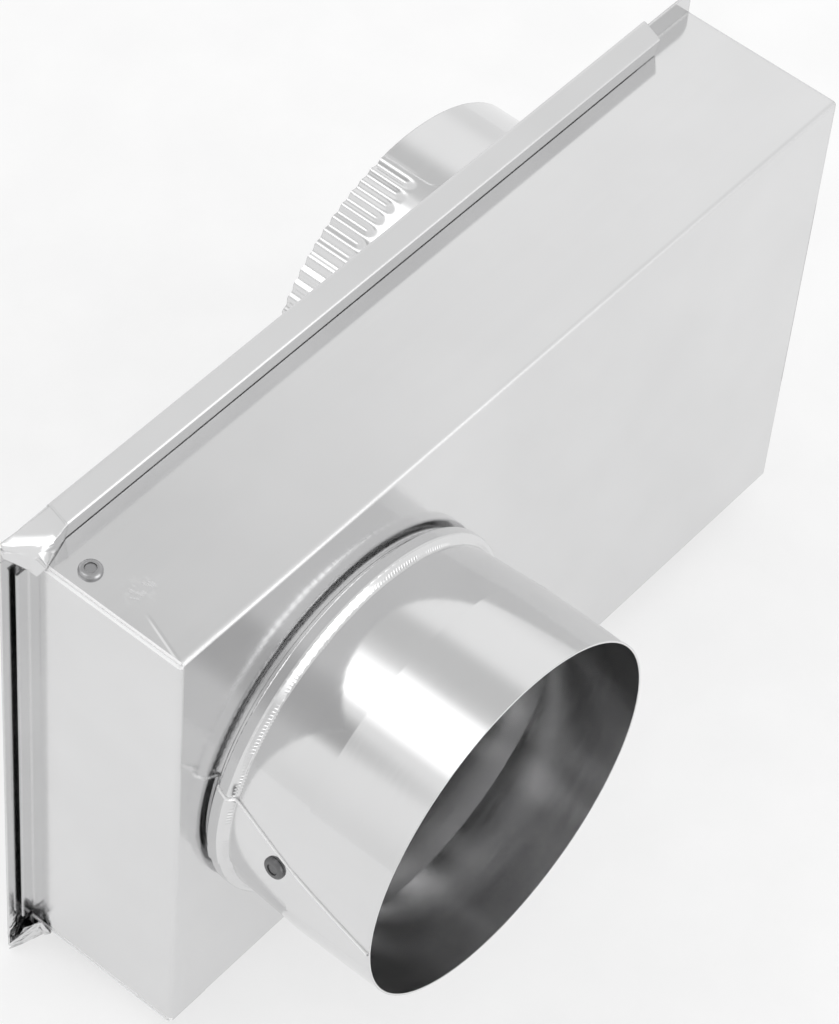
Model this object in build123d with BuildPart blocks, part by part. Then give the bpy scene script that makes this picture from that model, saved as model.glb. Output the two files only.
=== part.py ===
from build123d import *
import math
import os

os.makedirs("parts", exist_ok=True)

# Sheet metal: thickness, outside and inside bend radius, and the clearances between pieces
sheet = 0.6
bend = 1.2
inner_bend = 0.4
fit_gap = 0.1
slide_gap = 0.35
side_gap = 0.5

# Front pan: a tray on its side, the flanges along the back of its long sides and its closed end
pan_length = 250.0
pan_width = 149.0
pan_depth = 49.0
flange_height = 7.4
flange_corner = 3.0
flange_clip = 6.0
end_flange = 3.8
end_drop = 0.7
end_clip = 4.5
tab_reach = 13.0
corner_notch = 0.7
pan_rivet_inset = 6.3
pan_rivet_depth = 34.0

# Collars for a 4 inch duct: the front one slips over the outlet, the rear one is crimped
duct_radius = 51.1
collar_wall = 0.5
collar_reach = 52.0
mouth_length = 26.0
neck_taper = 1.2
collar_inset = 62.5
collar_offset = 119.5
bead_width = 4.4
bead_height = 2.4
bead_slope = 1.4
groove_width = 1.3
groove_depth = 0.3
bead_round = 0.6
turned_edge = 5.5
lap_start = 165.5
lap_skew = 17.0
lap_end = 190.0
seam_rivet_angle = 174.5
seam_rivet_depth = 22.0
rear_radius = 52.2
rear_reach = 36.0
crimp_length = 12.0
crimp_fade = 2.5
crimp_depth = 2.0
crimp_count = 52
crimp_free_from = 68.0
crimp_free_to = 119.0

# Sliding plate: hook channels round the flanges, hammered flat on the left, bulkhead on the right
plate_overhang = 7.4
channel_end = 231.0
bulkhead_at = 242.0
hook_top = 9.5
hook_knee = 6.2
hook_foot = 0.3
knee_depth = 5.3
foot_depth = 4.3
hammered = 8.5
fold_over = 1.4

# Blind rivets
rivet_head = 3.05
rivet_head_height = 1.2
rivet_shank = 1.95
rivet_bulb = 2.5
rivet_bulb_height = 2.2
stem_radius = 1.45
stem_recess = 0.25

# Positions that follow from the sizes above
left = -collar_inset
right = left + pan_length
half = pan_width / 2
face = collar_reach
back = face + pan_depth
plate_front = back + slide_gap
plate_back = plate_front + sheet
plate_left = left - plate_overhang
collar_outer = duct_radius + collar_wall
neck_outer = collar_outer - neck_taper
neck_start = collar_reach - groove_width - bead_width - bead_slope / 2
rear_end = plate_back + rear_reach
tab_top = half - sheet - fit_gap
rivet_hole = rivet_shank + fit_gap
pan_rivet_x = left + pan_rivet_inset
pan_rivet_y = face + pan_rivet_depth


# Half plane through the front collar's axis at an angle from +X
def axial(angle):
    c = math.cos(math.radians(angle))
    s = math.sin(math.radians(angle))
    return Plane(origin=(0, 0, 0), x_dir=(c, 0, s), z_dir=(-s, 0, c))


pan_top_rivet = Plane(origin=(pan_rivet_x, pan_rivet_y, half), z_dir=(0, 0, 1))
pan_bottom_rivet = Plane(origin=(pan_rivet_x, pan_rivet_y, -half), z_dir=(0, 0, -1))
# Front seam's rivet stands square on the tapered part of the collar
neck_slope = neck_taper / (neck_start - mouth_length)
seam_y = face - seam_rivet_depth
seam_radius = collar_outer + collar_wall - neck_slope * (seam_y - mouth_length)
seam_half_plane = axial(seam_rivet_angle)
front_seam = Plane(
    origin=seam_half_plane.from_local_coords(Vector(seam_radius, seam_y, 0)), x_dir=seam_half_plane.z_dir,
    z_dir=seam_half_plane.x_dir + Vector(0, neck_slope, 0))

# Front pan: face, long sides and flanges folded from one sheet
with BuildPart() as front_pan:
    with BuildSketch(Plane.YZ.offset(left)):
        with BuildLine():
            FilletPolyline(
                (back - sheet, half + flange_height), (back - sheet, half), (face, half),
                (face, -half), (back - sheet, -half), (back - sheet, -half - flange_height),
                radius=(inner_bend, bend, bend, inner_bend))
            offset(amount=sheet, side=Side.LEFT)
        make_face()
    extrude(amount=pan_length)
    for end, radius in ((right, flange_corner), (left, flange_clip)):
        flange_ends = edges().filter_by(Axis.Y).filter_by_position(Axis.X, end - 0.01, end + 0.01)
        fillet(flange_ends.group_by(Axis.Z)[0] + flange_ends.group_by(Axis.Z)[-1], radius=radius)
    # Closed end and its two tabs, which lie inside the long sides
    with BuildSketch(Plane.XZ.offset(-face)):
        with BuildLine():
            FilletPolyline(
                (left + tab_reach, tab_top), (left, tab_top), (left, -tab_top), (left + tab_reach, -tab_top),
                radius=bend)
            offset(amount=sheet, side=Side.LEFT)
        make_face()
    extrude(amount=end_drop - pan_depth)
    # Narrow flange along the back of the closed end
    with BuildSketch(Plane.XY):
        with BuildLine():
            FilletPolyline(
                (left - end_flange, back - end_drop - sheet), (left, back - end_drop - sheet), (left, face + bend),
                radius=inner_bend)
            offset(amount=sheet, side=Side.LEFT)
        make_face()
    extrude(amount=half - end_clip, both=True)
    # Mitred front corner of each tab
    for side in (1, -1):
        with BuildSketch(Plane.XY.offset(side * (tab_top + fit_gap / 2))):
            with BuildLine():
                Polyline((left + bend, face + sheet), (left + tab_reach + 1, face + sheet),
                         (left + tab_reach + 1, face + sheet + tab_reach), close=True)
            make_face()
        extrude(amount=-side * (sheet + fit_gap), mode=Mode.SUBTRACT)
    # Rounded fold between the face and the closed end
    with BuildSketch(Plane.XY):
        with Locations((left, face)):
            Rectangle(bend, bend, align=Align.MIN)
        with Locations((left + bend, face + bend)):
            Circle(bend, mode=Mode.SUBTRACT)
    extrude(amount=half, both=True, mode=Mode.SUBTRACT)
    # Relief notches where three folds meet
    for side in (1, -1):
        with Locations((left, face, side * (half - corner_notch / 2))):
            Box(corner_notch * 2, corner_notch * 2, corner_notch, mode=Mode.SUBTRACT)
    # Hole for the front collar
    with BuildSketch(Plane.XZ.offset(-face)):
        Circle(neck_outer - groove_depth + fit_gap)
    extrude(amount=-sheet * 2, both=True, mode=Mode.SUBTRACT)
    with Locations(pan_top_rivet, pan_bottom_rivet):
        Cylinder(rivet_hole, 6 * sheet, mode=Mode.SUBTRACT)
front_pan.part.label = "front_pan"
export_step(front_pan.part, "parts/front_pan.step")

# Outside of a collar's sheet, as radius and distance from its mouth: tube, bead, groove and turned edge
def collar_line(tube, radius, reach):
    top = radius + bead_height
    groove = reach - groove_width
    low = radius - groove_depth
    return tube + [
        (radius, groove - bead_width - bead_slope / 2), (top, groove - bead_width + bead_slope / 2),
        (top, groove - bead_slope / 3), (low, groove), (low, reach - fit_gap),
        (low, reach + sheet + fit_gap), (radius + turned_edge, reach + sheet + fit_gap)]


front_line = collar_line([(collar_outer, 0), (collar_outer, mouth_length)], neck_outer, face)
rear_line = collar_line([(rear_radius, crimp_length)], rear_radius, rear_reach)

# Outer layer of the lap seam, its cut edge running askew from the bead to the mouth
with BuildPart() as lap:
    with BuildSketch(axial(lap_end)):
        with BuildLine():
            FilletPolyline(*front_line[:7], radius=bead_round)
            offset(amount=collar_wall, side=Side.RIGHT)
        make_face()
    revolve(axis=Axis.Y, revolution_arc=lap_end - lap_start + 12)
    low = axial(lap_start).from_local_coords(Vector(collar_outer, face - 12, 0))
    high = axial(lap_start + lap_skew).from_local_coords(Vector(collar_outer, 0, 0))
    middle = axial(lap_start + lap_skew / 2)
    split(bisect_by=Plane(origin=low, z_dir=(high - low).cross(middle.x_dir)), keep=Keep.TOP)

# Front collar: rolled tube, bead and turned edge with the lap on its outside
with BuildPart() as front_collar:
    with BuildSketch(Plane.XY):
        with BuildLine():
            FilletPolyline(*front_line[:6], *front_line[7:], radius=(*[bead_round] * 5, fit_gap))
            offset(amount=collar_wall, side=Side.LEFT)
        make_face()
    revolve(axis=Axis.Y)
    add(lap.part)
    with Locations(front_seam):
        Cylinder(rivet_hole, 4, mode=Mode.SUBTRACT)
front_collar.part.label = "front_collar"
export_step(front_collar.part, "parts/front_collar.step")

# Sliding plate: flat back and hook channels folded from one sheet
with BuildPart() as sliding_plate:
    with BuildSketch(Plane.YZ.offset(left + hammered)):
        with BuildLine():
            FilletPolyline(
                (back - foot_depth, half + hook_foot), (back - knee_depth, half + hook_knee),
                (plate_back, half + hook_top), (plate_back, -half - hook_top),
                (back - knee_depth, -half - hook_knee), (back - foot_depth, -half - hook_foot), radius=0.8)
            offset(amount=sheet, side=Side.RIGHT)
        make_face()
    extrude(amount=channel_end - hammered)
    with Locations(((plate_left + left + hammered) / 2, (plate_front + plate_back) / 2, 0)):
        Box(hammered + plate_overhang, sheet, pan_width + 4)
    # Bulkhead bent into the pan at the right
    with BuildSketch(Plane.XY):
        with BuildLine():
            FilletPolyline(
                (left + channel_end - 4, plate_back), (left + bulkhead_at, plate_back),
                (left + bulkhead_at, face + sheet + side_gap), radius=bend)
            offset(amount=sheet, side=Side.RIGHT)
        make_face()
    extrude(amount=half - sheet - side_gap, both=True)
    # Channel ends hammered flat over the pan's corners, which stop the plate
    near = plate_front + 0.02
    far = plate_back - 0.02
    for side in (1, -1):
        for x, section in (
            (left + hammered + 0.3, [
                (far, 1.5), (far, 8.1), (far - 0.7, 8.7), (back - knee_depth + 0.28, hook_knee - 0.12),
                (back - foot_depth + 0.06, hook_foot + 0.06), (back - foot_depth + 0.54, hook_foot + 0.06),
                (back - knee_depth + 0.56, hook_knee - 0.25), (near, 8.3), (near, 1.5)]),
            (left - 0.02, [
                (far, 1.5), (far, 7.9), (far - 0.6, 8.3), (back - 3.4, 4.6), (back - 7.1, 0.85),
                (back - 7.0, 0.25), (back - 3.3, 3.9), (near, 7.5), (near, 1.5)]),
            (left - fold_over, [
                (far, 1.5), (far, 7.2), (far - 0.6, 7.6), (back - 3.0, 3.6), (back - 4.9, -2.6),
                (back - 4.4, -2.9), (back - 2.5, 3.1), (near, 6.8), (near, 1.5)]),
            (plate_left + 0.1, [
                (far, 1.5), (far, 6.4), (far - 0.3, 6.8), (near - 0.8, 6.1), (near - 1.2, 4.4),
                (near - 0.8, 4.0), (near - 0.4, 4.9), (near, 5.4), (near, 1.5)])):
            with BuildSketch(Plane.YZ.offset(x)):
                with BuildLine():
                    Polyline(*[(y, side * (half + z)) for y, z in section], close=True)
                make_face()
        loft(ruled=True)
    # Hole for the rear collar
    with BuildSketch(Plane.XZ.offset(-back)):
        with Locations((collar_offset, 0)):
            Circle(rear_radius - groove_depth + fit_gap)
    extrude(amount=-4 * sheet, mode=Mode.SUBTRACT)
sliding_plate.part.label = "sliding_plate"
export_step(sliding_plate.part, "parts/sliding_plate.step")

# Rear collar: crimped end, then the plain tube, bead and turned edge
with BuildPart() as rear_collar:
    for inset, mode in ((0, Mode.ADD), (collar_wall, Mode.SUBTRACT)):
        for y, depth in (
                (rear_end - crimp_length, 0), (rear_end - crimp_length + crimp_fade, crimp_depth),
                (rear_end, crimp_depth)):
            ring = []
            for k in range(4 * crimp_count):
                turn = 90 * k / crimp_count
                sunk = depth if k % 4 in (1, 2) and not crimp_free_from < turn < crimp_free_to else 0
                r = rear_radius - inset - sunk
                ring.append((collar_offset + r * math.cos(math.radians(turn)), r * math.sin(math.radians(turn))))
            with BuildSketch(Plane.XZ.offset(-y)):
                with BuildLine():
                    Polyline(*ring, close=True)
                make_face()
        loft(ruled=True, mode=mode)
    with BuildSketch(Plane(origin=(collar_offset, rear_end, 0), x_dir=(1, 0, 0), z_dir=(0, 0, -1))):
        with BuildLine():
            FilletPolyline(*rear_line[:5], *rear_line[6:], radius=(*[bead_round] * 4, fit_gap))
            offset(amount=collar_wall, side=Side.LEFT)
        make_face()
    revolve(axis=Axis((collar_offset, 0, 0), (0, 1, 0)))
rear_collar.part.label = "rear_collar"
export_step(rear_collar.part, "parts/rear_collar.step")

# Blind rivets: a hollow body with a flat domed head and a bulb behind, and the broken stem inside it
pan_grip = 2 * sheet + fit_gap
for name, place, grip in (
        ("pan_rivet_top", pan_top_rivet, pan_grip), ("pan_rivet_bottom", pan_bottom_rivet, pan_grip),
        ("front_seam_rivet", front_seam, 2 * collar_wall)):
    shank = grip + 2 * fit_gap
    with BuildPart(place) as rivet:
        Cylinder(rivet_head, rivet_head_height, align=(Align.CENTER, Align.CENTER, Align.MIN))
        fillet(edges().sort_by(Axis(place.origin, place.z_dir))[-1], radius=rivet_head_height * 0.75)
        Cylinder(rivet_shank, shank, align=(Align.CENTER, Align.CENTER, Align.MAX))
        with Locations((0, 0, -shank)):
            Cylinder(rivet_bulb, rivet_bulb_height, align=(Align.CENTER, Align.CENTER, Align.MAX))
        Cylinder(stem_radius + fit_gap, 20, mode=Mode.SUBTRACT)
    rivet.part.label = name
    export_step(rivet.part, "parts/" + name + ".step")
    with BuildPart(place) as stem:
        with Locations((0, 0, rivet_head_height - stem_recess)):
            Cylinder(stem_radius, rivet_head_height - stem_recess + shank + rivet_bulb_height + 0.1,
                     align=(Align.CENTER, Align.CENTER, Align.MAX))
        with Locations((0, 0, -shank - rivet_bulb_height - 0.05)):
            Cylinder(rivet_shank, 1.0, align=(Align.CENTER, Align.CENTER, Align.MAX))
    stem.part.label = name + "_stem"
    export_step(stem.part, "parts/" + name + "_stem.step")
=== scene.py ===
import math
import random
import bpy
import bmesh
from mathutils import Matrix, Vector


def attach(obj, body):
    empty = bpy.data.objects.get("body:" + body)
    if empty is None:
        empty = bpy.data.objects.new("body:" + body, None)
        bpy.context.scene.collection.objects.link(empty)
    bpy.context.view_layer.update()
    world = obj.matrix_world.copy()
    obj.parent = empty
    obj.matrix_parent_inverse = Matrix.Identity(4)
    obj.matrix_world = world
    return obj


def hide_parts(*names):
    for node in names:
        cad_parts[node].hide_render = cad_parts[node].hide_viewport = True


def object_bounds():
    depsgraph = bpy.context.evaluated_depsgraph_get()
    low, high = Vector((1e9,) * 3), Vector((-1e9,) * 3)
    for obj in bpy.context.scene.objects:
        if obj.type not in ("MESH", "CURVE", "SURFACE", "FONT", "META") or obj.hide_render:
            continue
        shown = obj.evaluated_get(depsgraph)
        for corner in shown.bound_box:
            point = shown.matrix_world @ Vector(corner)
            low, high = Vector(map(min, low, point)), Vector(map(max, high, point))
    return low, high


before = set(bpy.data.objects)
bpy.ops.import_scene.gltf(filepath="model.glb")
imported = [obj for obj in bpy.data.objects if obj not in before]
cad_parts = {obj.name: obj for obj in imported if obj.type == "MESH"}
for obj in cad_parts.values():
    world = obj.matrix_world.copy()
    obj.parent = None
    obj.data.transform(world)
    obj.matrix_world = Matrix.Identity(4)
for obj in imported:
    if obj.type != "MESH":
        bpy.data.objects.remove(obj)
cad_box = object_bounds()


# Front pan: one sheet of bright mill-finish aluminium, a little over half a millimetre thick, folded on a
# brake into a shallow tray with narrow flanges along the back. The rolling grain runs along the tray, and
# handling has left a small scuff and a faint crease at the top left corner.
def node(tree, kind, **values):
    made = tree.nodes.new("ShaderNode" + kind)
    for name, value in values.items():
        setattr(made, name, value)
    return made


def feed(tree, target, socket, value):
    if hasattr(value, "links"):
        tree.links.new(value, target.inputs[socket])
    else:
        target.inputs[socket].default_value = value


def fed_by(target, socket):
    return target.inputs[socket].links[0].from_socket


def calc(tree, operation, *values):
    made = node(tree, "Math", operation=operation)
    for index, value in enumerate(values):
        feed(tree, made, index, value)
    return made.outputs[0]


def spread(tree, value, from_low, from_high, low, high, soft=False):
    made = node(tree, "MapRange", interpolation_type="SMOOTHSTEP" if soft else "LINEAR")
    numbers = {"Value": value, "From Min": from_low, "From Max": from_high, "To Min": low, "To Max": high}
    for socket, number in numbers.items():
        feed(tree, made, socket, number)
    return made.outputs[0]


def axes(tree, place):
    made = node(tree, "SeparateXYZ")
    tree.links.new(place, made.inputs[0])
    return list(made.outputs)


def noise(tree, place, scale, detail):
    scaled = node(tree, "Mapping")
    scaled.inputs["Scale"].default_value = scale
    tree.links.new(place, scaled.inputs["Vector"])
    made = node(tree, "TexNoise")
    made.inputs["Scale"].default_value = 1.0
    made.inputs["Detail"].default_value = detail
    made.inputs["Roughness"].default_value = 0.55
    tree.links.new(scaled.outputs[0], made.inputs["Vector"])
    return made.outputs[0]


def spot(tree, place, centre, radii):
    moved = node(tree, "Mapping")
    moved.inputs["Location"].default_value = [-c / r for c, r in zip(centre, radii)]
    moved.inputs["Scale"].default_value = [1.0 / r for r in radii]
    tree.links.new(place, moved.inputs["Vector"])
    far = node(tree, "VectorMath", operation="LENGTH")
    tree.links.new(moved.outputs[0], far.inputs[0])
    return spread(tree, far.outputs["Value"], 1.0, 0.3, 0.0, 1.0, soft=True)


def raised(tree, height, distance, below):
    made = node(tree, "Bump")
    made.inputs["Distance"].default_value = distance
    tree.links.new(height, made.inputs["Height"])
    tree.links.new(below, made.inputs["Normal"])
    return made.outputs[0]


# Each sheet has a rolling grain, a slight cloudiness, the slack waves of thin metal, and eased edges
def bright_sheet(name, tint, rough, grain_scale, slack, ease=0.0005):
    finish = bpy.data.materials.new(name)
    finish.use_nodes = True
    tree = finish.node_tree
    metal = tree.nodes["Principled BSDF"]
    metal.inputs["Metallic"].default_value = 1.0
    place = node(tree, "TexCoord").outputs["Object"]
    grain = noise(tree, place, grain_scale, 3.0)
    clouds = noise(tree, place, (22.0, 22.0, 22.0), 4.0)
    waves = noise(tree, place, (9.0, 9.0, 9.0), 1.0)
    thin, thick = 0.35, 0.65
    darker, lighter = 0.975, 1.015
    smoother, rougher = 0.9 * rough, 1.15 * rough
    grain_rough = 0.15 * rough
    grain_height = 0.000004
    shade = node(tree, "Mix", data_type="RGBA")
    shade.inputs["A"].default_value = [darker * c for c in tint] + [1.0]
    shade.inputs["B"].default_value = [lighter * c for c in tint] + [1.0]
    tree.links.new(spread(tree, clouds, thin, thick, 0.0, 1.0), shade.inputs["Factor"])
    tree.links.new(shade.outputs["Result"], metal.inputs["Base Color"])
    dull = calc(tree, "ADD", spread(tree, clouds, thin, thick, smoother, rougher),
                spread(tree, grain, thin, thick, -grain_rough, grain_rough))
    tree.links.new(dull, metal.inputs["Roughness"])
    eased = node(tree, "Bevel", samples=2)
    eased.inputs["Radius"].default_value = ease
    relief = raised(tree, grain, grain_height, raised(tree, waves, slack, eased.outputs[0]))
    tree.links.new(relief, metal.inputs["Normal"])
    return finish, tree, metal, place


def roughen(tree, metal, mask, amount):
    rougher = calc(tree, "ADD", fed_by(metal, "Roughness"), calc(tree, "MULTIPLY", mask, amount))
    tree.links.new(rougher, metal.inputs["Roughness"])


def recolour(tree, metal, mask, tint):
    made = node(tree, "Mix", data_type="RGBA")
    tree.links.new(mask, made.inputs["Factor"])
    tree.links.new(fed_by(metal, "Base Color"), made.inputs["A"])
    made.inputs["B"].default_value = (*tint, 1.0)
    tree.links.new(made.outputs["Result"], metal.inputs["Base Color"])


def emboss(tree, metal, height, distance):
    tree.links.new(raised(tree, height, distance, fed_by(metal, "Normal")), metal.inputs["Normal"])


def dress(piece, finish):
    piece.data.materials.clear()
    piece.data.materials.append(finish)


sheet_tint = (0.725, 0.725, 0.728)
flat_rough = 0.13
flat_grain = (7.0, 800.0, 800.0)
flat_slack = 0.0002
fold_ease = 0.0009
pan_finish, tree, metal, place = bright_sheet(
    "pan_sheet", sheet_tint, flat_rough, flat_grain, flat_slack, fold_ease)
# Scuff beside the rivet, in broken flecks
scuff_centre = (-0.0526, 0.0738, 0.0745)
scuff_radii = (0.007, 0.006, 0.004)
scuff_rough = 0.16
scuff_height = 0.00001
flecks = spread(tree, noise(tree, place, (900.0, 500.0, 900.0), 4.0), 0.5, 0.62, 0.0, 1.0)
scuffed = calc(tree, "MULTIPLY", spot(tree, place, scuff_centre, scuff_radii), flecks)
roughen(tree, metal, scuffed, scuff_rough)
emboss(tree, metal, scuffed, scuff_height)
# Crease that starts at the corner and fades out along the top side
crease_start = (-0.0622, 0.0522, 0.0745)
crease_heading = math.radians(71.0)
crease_half_width = 0.0007
crease_depth = 0.00006
turned = node(tree, "Mapping", vector_type="TEXTURE")
turned.inputs["Location"].default_value = crease_start
turned.inputs["Rotation"].default_value = (0.0, 0.0, crease_heading)
tree.links.new(place, turned.inputs["Vector"])
along, beside = axes(tree, turned.outputs[0])[:2]
crease_line = spread(tree, calc(tree, "ABSOLUTE", beside), 0.0, crease_half_width, 1.0, 0.0, soft=True)
crease_rise = spread(tree, along, 0.0005, 0.004, 0.0, 1.0, soft=True)
crease_fall = spread(tree, along, 0.010, 0.018, 1.0, 0.0, soft=True)
crease = calc(tree, "MULTIPLY", crease_line, calc(tree, "MULTIPLY", crease_rise, crease_fall))
emboss(tree, metal, crease, -crease_depth)
# Painted highlight along the folds at the closed end: the cut edges of the long sides, and the tabs' folds
# below them, are made paler and rougher so that they read as a bright line
fold_highlight_across = (-0.0615, -0.0619)
fold_highlight_down = (0.0724, 0.0729)
fold_highlight_rough = 0.4
fold_highlight_tint = (0.97, 0.97, 0.972)
x, y, z = axes(tree, place)
painted_fold_highlight = calc(tree, "MULTIPLY", spread(tree, x, *fold_highlight_across, 0.0, 1.0, soft=True),
                 spread(tree, calc(tree, "ABSOLUTE", z), *fold_highlight_down, 0.0, 1.0, soft=True))
roughen(tree, metal, painted_fold_highlight, fold_highlight_rough)
recolour(tree, metal, painted_fold_highlight, fold_highlight_tint)
dress(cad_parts["front_pan"], pan_finish)


# Front collar: a strip of the same sheet rolled into a tube, lapped on itself and held by one rivet. A bead
# is rolled up against the pan's face, and the roller has left a row of short ticks along the bead's outer
# foot.
def hypotenuse(tree, first, second):
    squares = calc(tree, "ADD", calc(tree, "POWER", first, 2.0), calc(tree, "POWER", second, 2.0))
    return calc(tree, "SQRT", squares)


collar_grain = (60.0, 500.0, 60.0)
collar_rough = 0.11
collar_slack = 0.00006
collar_ease = 0.0002
collar_finish, tree, metal, place = bright_sheet(
    "collar_sheet", sheet_tint, collar_rough, collar_grain, collar_slack, collar_ease)
x, y, z = axes(tree, place)
bead_foot = 0.0457
tick_rate = 330.0
tick_height = 0.00008
from_foot = calc(tree, "ABSOLUTE", calc(tree, "SUBTRACT", y, bead_foot))
tick_line = spread(tree, from_foot, 0.0002, 0.0007, 1.0, 0.0, soft=True)
tick_wave = calc(tree, "SINE", calc(tree, "MULTIPLY", calc(tree, "ARCTAN2", z, x), tick_rate))
ticks = calc(tree, "MULTIPLY", tick_line, spread(tree, tick_wave, -0.2, 1.0, 0.0, 1.0, soft=True))
patchy = spread(tree, noise(tree, place, (120.0, 40.0, 120.0), 2.0), 0.4, 0.56, 0.0, 1.0)
emboss(tree, metal, calc(tree, "MULTIPLY", ticks, patchy), tick_height)
# Inside of the tube, which narrows a little towards the neck: duller, and painted paler as painted light that
# lifts the shade inside the tube
neck_from, neck_to = 0.026, 0.0456
mid_wall_tube, mid_wall_neck = 0.05135, 0.05015
inside_rough = 0.06
inside_painted_light_tint = (0.84, 0.84, 0.843)
mid_wall = spread(tree, y, neck_from, neck_to, mid_wall_tube, mid_wall_neck)
inside = calc(tree, "LESS_THAN", hypotenuse(tree, x, z), mid_wall)
roughen(tree, metal, inside, inside_rough)
recolour(tree, metal, inside, inside_painted_light_tint)
dress(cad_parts["front_collar"], collar_finish)


# Cut edge of the front collar's lap: the shears left a burr, which follows the tube and climbs over the bead;
# its pale tint is a painted highlight that makes it read as a white line. It is part of the collar's strip.
def on_tube(radius, run, degrees):
    angle = math.radians(degrees)
    return Vector((radius * math.cos(angle), run, radius * math.sin(angle)))


def set_out(name, data):
    piece = bpy.data.objects.new(name, data)
    bpy.context.scene.collection.objects.link(piece)
    return piece


fine_grain = (900.0, 900.0, 900.0)
burr_highlight_finish = bright_sheet("sheared_edge_highlight", (0.92, 0.92, 0.92), 0.3, fine_grain, 0.00001)[0]
lap_radius = 0.0516
lap_degrees = 174.0
edge_base_run, edge_base_degrees, edge_mouth_degrees = 0.040, 165.5, 182.5
burr_radius = 0.0004
edge_base = on_tube(lap_radius, edge_base_run, edge_base_degrees)
edge_mouth = on_tube(lap_radius, 0.0, edge_mouth_degrees)
edge_normal = (edge_mouth - edge_base).cross(on_tube(1.0, 0.0, lap_degrees))
edge_curve = bpy.data.curves.new("front_lap_edge", "CURVE")
edge_curve.dimensions = "3D"
edge_curve.bevel_depth = burr_radius
edge_curve.bevel_resolution = 2
edge_curve.use_fill_caps = True
# Way from the mouth and radius: along the tube, in at the neck, over the bead and down into the groove
edge_path = [
    (0.0005, 0.0518), (0.013, 0.0518), (0.0255, 0.0518), (0.035, 0.0512), (0.0445, 0.0507),
    (0.0458, 0.0511), (0.0464, 0.0525), (0.0470, 0.0530), (0.0486, 0.0530), (0.0502, 0.0529),
    (0.0508, 0.0510), (0.0515, 0.0505)]
edge_line = edge_curve.splines.new("NURBS")
edge_line.points.add(len(edge_path) - 1)
edge_line.use_endpoint_u = True
edge_line.order_u = 3
heading = math.atan2(edge_normal.z, edge_normal.x)
for point, (run, radius) in zip(edge_line.points, edge_path):
    # The cut lies in one plane, so each point is where that plane crosses the tube's circle beside the lap
    swing = math.acos((edge_normal.dot(edge_base) - edge_normal.y * run) / radius
                      / math.hypot(edge_normal.x, edge_normal.z))
    crossings = [heading + way * swing + full_turn for way in (1.0, -1.0) for full_turn in (0.0, math.tau)]
    angle = min(crossings, key=lambda a: abs(a - math.radians(lap_degrees)))
    point.co = (radius * math.cos(angle), run, radius * math.sin(angle), 1.0)
edge_curve.materials.append(burr_highlight_finish)
lap_edge = set_out("front_lap_edge", edge_curve)
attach(lap_edge, "pan")

# Sliding plate: the back sheet, its long edges folded into hooks round the pan's flanges. The hooks' left
# ends were hammered down over the pan's corners, which left them crumpled.
plate_finish, tree, metal, place = bright_sheet("plate_sheet", sheet_tint, flat_rough, flat_grain, flat_slack)
crushed_centre = (-0.0665, 0.097, -0.0775)
crushed_radii = (0.011, 0.011, 0.012)
crushed_grain = (420.0, 260.0, 420.0)
crushed_height = 0.0014
crushed = calc(tree, "MULTIPLY", spot(tree, place, crushed_centre, crushed_radii),
               noise(tree, place, crushed_grain, 1.0))
emboss(tree, metal, crushed, crushed_height)
dress(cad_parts["sliding_plate"], plate_finish)


# Hammered corners: the same sheet at the hooks' left ends. The top strip runs on to the plate's tip, and the
# hook's front was beaten in below it as a creased three-cornered facet; the bottom corner is crushed more.
def finished(name, shape, finish, sharp_degrees):
    for face in shape.faces:
        face.smooth = True
    data = bpy.data.meshes.new(name)
    shape.to_mesh(data)
    shape.free()
    data.set_sharp_from_angle(angle=math.radians(sharp_degrees))
    data.materials.append(finish)
    return data


# Places on the top corner, in millimetres
corner_points = {
    "strip_front": (-53.4, 95.62, 80.76), "strip_back": (-53.4, 100.9, 83.46),
    "tip": (-69.7, 101.6, 83.1), "tip_under": (-69.6, 100.9, 81.5),
    "fold": (-58.4, 95.3, 79.1), "lip": (-53.4, 96.62, 74.85), "lip_end": (-58.2, 95.1, 75.3),
    "nose": (-63.0, 93.4, 75.0), "toe": (-64.0, 95.6, 71.0), "heel": (-66.4, 99.4, 75.0),
    "dent": (-63.8, 96.4, 77.0)}
dent_rim = ["fold", "tip_under", "heel", "toe", "nose", "lip_end"]
corner_faces = [("strip_front", "strip_back", "fold"), ("strip_back", "tip", "tip_under", "fold"),
                ("strip_front", "fold", "lip_end", "lip")]
corner_faces += [(first, second, "dent") for first, second in zip(dent_rim, dent_rim[1:] + dent_rim[:1])]
corner_wall = 0.0003
crease_degrees = 24.0
draws = random.Random(7)
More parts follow.
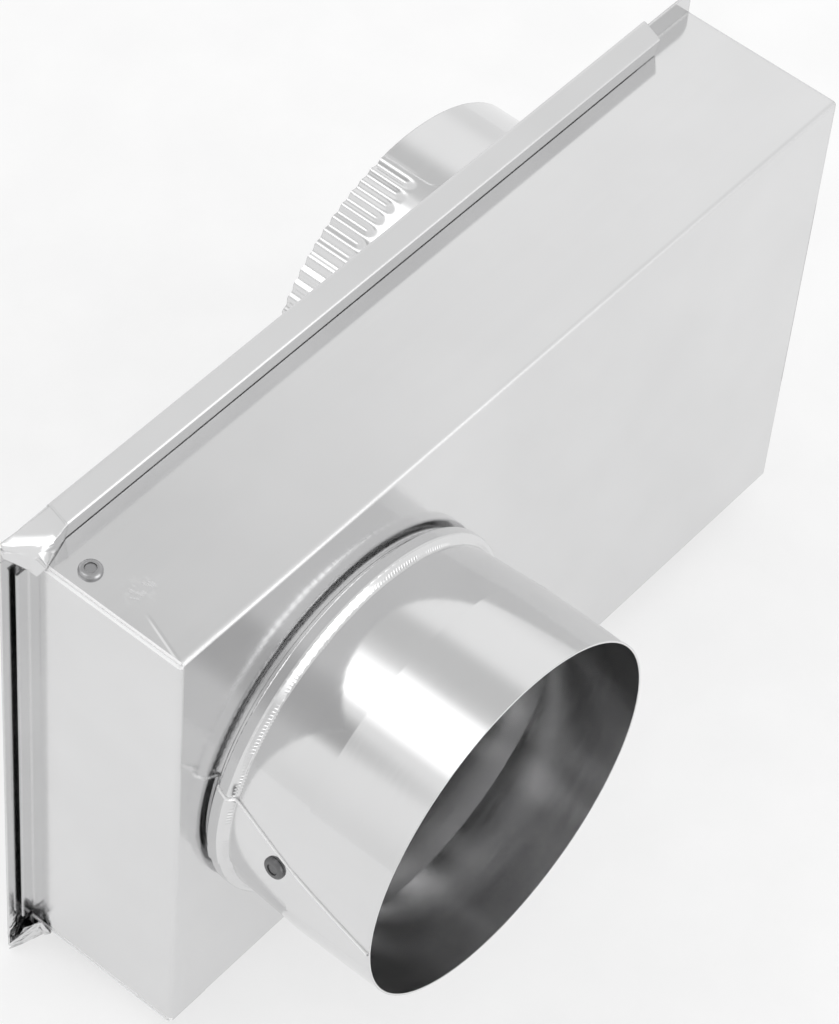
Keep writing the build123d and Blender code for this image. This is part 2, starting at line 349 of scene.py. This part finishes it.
for name, side, crumple in (("hammered_corner_top", 1.0, 0.0001), ("hammered_corner_bottom", -1.0, 0.0005)):
    corner_mesh = bmesh.new()
    spots = {}
    for spot_name, (x, y, z) in corner_points.items():
        spots[spot_name] = corner_mesh.verts.new((x / 1000.0, y / 1000.0, side * z / 1000.0))
    for face in corner_faces:
        corner_mesh.faces.new([spots[spot_name] for spot_name in face])
    bmesh.ops.triangulate(corner_mesh, faces=corner_mesh.faces)
    bmesh.ops.subdivide_edges(corner_mesh, edges=corner_mesh.edges, cuts=3, use_grid_fill=True)
    inner_verts = [vert for vert in corner_mesh.verts if not vert.is_boundary]
    for vert in inner_verts:
        vert.co += Vector([draws.uniform(-crumple, crumple) for axis in range(3)])
    bmesh.ops.smooth_vert(corner_mesh, verts=inner_verts, factor=0.3,
                          use_axis_x=True, use_axis_y=True, use_axis_z=True)
    # The sheet's outer side faces the front, and its wall is laid on behind
    bmesh.ops.recalc_face_normals(corner_mesh, faces=corner_mesh.faces)
    if max(corner_mesh.faces, key=lambda f: f.calc_center_median().x).normal.y > 0.0:
        bmesh.ops.reverse_faces(corner_mesh, faces=corner_mesh.faces)
    wall = bmesh.ops.extrude_face_region(corner_mesh, geom=corner_mesh.faces[:], use_keep_orig=True)
    corner_mesh.normal_update()
    for made in wall["geom"]:
        if isinstance(made, bmesh.types.BMVert):
            made.co -= corner_wall * made.normal
    bmesh.ops.recalc_face_normals(corner_mesh, faces=corner_mesh.faces)
    corner = set_out(name, finished(name, corner_mesh, plate_finish, crease_degrees))
    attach(corner, "plate")


# Rear collar: a second tube of the same sheet with its own bead and turned edge. Its end is crimped into some
# eighty shallow flutes so that a duct slips over it; the flutes stop at the lap, whose outer layer has a
# rounded corner.
def ramp(value, start, length):
    return min(max((value - start) / length, 0.0), 1.0)


rear_rough = 0.12
rear_slack = 0.00012
rear_finish, tree, metal, place = bright_sheet(
    "rear_collar_sheet", sheet_tint, rear_rough, collar_grain, rear_slack)
x, y, z = axes(tree, place)
rear_x = 0.1195
rear_radius = 0.0522
lap_from = (0.7, 0.72)
lap_round_arc = 0.0862
lap_round_y = 0.1236
lap_round_radius = (0.0051, 0.0047)
lap_height = 0.0004
turn = calc(tree, "ARCTAN2", z, calc(tree, "SUBTRACT", x, rear_x))
beyond = calc(tree, "SUBTRACT", calc(tree, "MULTIPLY", turn, rear_radius), lap_round_arc)
before = calc(tree, "SUBTRACT", lap_round_y, y)
rounding = hypotenuse(tree, calc(tree, "MAXIMUM", beyond, 0.0), calc(tree, "MAXIMUM", before, 0.0))
layer = calc(tree, "MULTIPLY", spread(tree, rounding, *lap_round_radius, 0.0, 1.0, soft=True),
             spread(tree, turn, *lap_from, 0.0, 1.0))
emboss(tree, metal, layer, lap_height)
# Outline of the wall in millimetres, as distance from the front mouth and radius
rear_wall = 0.5
turned_edge = [(101.25, 57.7), (101.25, 52.2)]
neck = [(101.6, 51.9), (103.2, 51.9)]
bead = [(103.7, 52.4), (104.2, 53.9), (104.9, 54.5), (106.0, 54.6), (107.0, 54.3), (107.8, 53.2),
        (108.5, 52.4)]
tube = [(run, 52.2) for run in (109.4, 117.0, 124.4, 125.4, 126.4, 127.4, 128.4, 131.5, 134.7, 137.9)]
outer_line = turned_edge + neck + bead + tube
(edge_run, edge_radius), (turn_run, turn_radius) = turned_edge
inner_line = [(edge_run - rear_wall, edge_radius), (turn_run - rear_wall, turn_radius - rear_wall)]
inner_line += [(run, radius - rear_wall) for run, radius in neck + bead + tube]
rear_mesh = bmesh.new()
ring = [rear_mesh.verts.new((rear_x + radius / 1000.0, run / 1000.0, 0.0))
        for run, radius in outer_line + inner_line[::-1]]
seams = [rear_mesh.edges.new((ring[k - 1], ring[k])) for k in range(len(ring))]
bmesh.ops.spin(rear_mesh, geom=ring + seams, cent=(rear_x, 0.0, 0.0), axis=(0.0, 1.0, 0.0),
               dvec=(0.0, 0.0, 0.0), angle=math.tau, steps=640, use_merge=True)
rear_sharp_degrees = 50.0
flute_count = 80.0
flute_depth = 0.0009
flute_start = 0.1248
flute_fade = 0.0032
plain_from, plain_to, plain_fade = 36.0, 103.0, 4.0
for vert in rear_mesh.verts:
    degrees = math.degrees(math.atan2(vert.co.z, vert.co.x - rear_x))
    fade = ramp(vert.co.y, flute_start, flute_fade)
    plain = ramp(degrees, plain_from, plain_fade) * ramp(-degrees, -plain_to, plain_fade)
    wave = 0.5 + 0.5 * math.cos(math.radians(flute_count * degrees))
    sunk = flute_depth * wave * fade * fade * (3.0 - 2.0 * fade) * (1.0 - plain)
    radius = math.hypot(vert.co.x - rear_x, vert.co.z)
    vert.co.x = rear_x + (vert.co.x - rear_x) * (1.0 - sunk / radius)
    vert.co.z *= 1.0 - sunk / radius
bmesh.ops.recalc_face_normals(rear_mesh, faces=rear_mesh.faces)
rear_data = finished("rear_collar_crimped", rear_mesh, rear_finish, rear_sharp_degrees)
rear_collar = set_out("rear_collar_crimped", rear_data)
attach(rear_collar, "plate")
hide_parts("rear_collar")

# Blind rivets: soft aluminium bodies set from outside, with the broken end of the steel stem left in the
# middle. The one on the collar's lap is tinted much darker.
rivet_grain = (700.0, 700.0, 700.0)
rivet_slack = 0.00002
rivet_finish = bright_sheet("rivet_aluminium", (0.40, 0.40, 0.405), 0.11, rivet_grain, rivet_slack)[0]
stem_finish = bright_sheet("stem_steel", (0.34, 0.34, 0.345), 0.34, fine_grain, rivet_slack)[0]
dark_seam_rivet_finish = bright_sheet("rivet_dark_seam", (0.16, 0.16, 0.163), 0.32, rivet_grain, rivet_slack)[0]
for name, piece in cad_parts.items():
    if name.startswith("front_seam_rivet"):
        dress(piece, dark_seam_rivet_finish)
    elif "rivet" in name:
        dress(piece, stem_finish if name.endswith("_stem") else rivet_finish)

# Floor: a lit sheet of white paper under the vent, which leaves only a faint shadow.
paper_finish = bpy.data.materials.new("studio_paper")
paper_finish.use_nodes = True
tree = paper_finish.node_tree
paper = tree.nodes["Principled BSDF"]
paper.inputs["Roughness"].default_value = 0.9
paper.inputs["Specular IOR Level"].default_value = 0.0
paper.inputs["Emission Strength"].default_value = 0.56
fibres = noise(tree, node(tree, "TexCoord").outputs["Object"], (40.0, 40.0, 40.0), 3.0)
for socket, low, high in (("Base Color", 0.40, 0.42), ("Emission Color", 0.99, 1.0)):
    white = node(tree, "CombineColor")
    for index in range(3):
        tree.links.new(spread(tree, fibres, 0.3, 0.7, low, high), white.inputs[index])
    tree.links.new(white.outputs[0], paper.inputs[socket])
floor_half = 3.0
floor_gap = 0.0002
floor_mesh = bmesh.new()
bmesh.ops.create_grid(floor_mesh, x_segments=1, y_segments=1, size=floor_half)
bmesh.ops.translate(floor_mesh, verts=floor_mesh.verts, vec=(0.0, 0.0, cad_box[0].z - floor_gap))
floor_data = bpy.data.meshes.new("floor")
floor_mesh.to_mesh(floor_data)
floor_mesh.free()
floor_data.materials.append(paper_finish)
floor = set_out("floor", floor_data)


# Studio light: a white tent with a low lamp in front, two soft boxes high up behind, a dark stand below them,
# and the dim opening that the camera looks through. Each is a soft round patch of the sky, by its direction.
def heading_to(azimuth, height):
    around, up = math.radians(azimuth), math.radians(height)
    return math.cos(around) * math.cos(up), math.sin(around) * math.cos(up), math.sin(up)


world = bpy.data.worlds.new("studio_tent")
bpy.context.scene.world = world
world.use_nodes = True
sky = world.node_tree
sky_place = node(sky, "TexCoord").outputs["Generated"]
tent_strength = 0.90
total = tent_strength
# Azimuth, height, inner and outer radius in degrees, then the light that is added or taken away
for azimuth, height, inner, outer, strength in (
        (26.0, 34.0, 6.0, 24.0, 0.14),  # glow at the right
        (52.0, 60.0, 4.0, 17.0, -0.20),  # seam of the tent
        (126.0, 66.0, 2.0, 19.0, 1.1),  # large soft box
        (280.0, 14.0, 8.0, 32.0, 1.6),  # low lamp
        (152.0, 42.0, 8.0, 40.0, 0.10),  # glow round the stand
        (117.0, 54.0, 3.0, 11.0, 0.5),  # small soft box
        (142.0, 37.0, 1.0, 12.0, -0.50),  # dark stand
        (206.0, 45.0, 8.0, 24.0, -0.25)):  # the camera's opening
    facing = node(sky, "VectorMath", operation="DOT_PRODUCT")
    facing.inputs[1].default_value = heading_to(azimuth, height)
    sky.links.new(sky_place, facing.inputs[0])
    patch = spread(sky, facing.outputs["Value"], math.cos(math.radians(outer)), math.cos(math.radians(inner)),
                   0.0, strength, soft=True)
    total = calc(sky, "ADD", total, patch)
sky.links.new(total, sky.nodes["Background"].inputs["Strength"])
sky.nodes["Background"].inputs["Color"].default_value = (1.0, 1.0, 1.0, 1.0)
bpy.context.scene.view_settings.view_transform = "Standard"

# Camera: at the photograph's place, looking down on the pan's left front corner.
camera_data = bpy.data.cameras.new("camera")
camera_data.lens = 145.2
camera = set_out("camera", camera_data)
camera.matrix_world = Matrix((
    (0.64469871, 0.56147175, -0.51876107, -0.49258),
    (-0.76182254, 0.52798098, -0.37531653, -0.32098),
    (0.06316635, 0.63716996, 0.76813049, 0.81740),
    (0.0, 0.0, 0.0, 1.0)))
bpy.context.scene.camera = camera
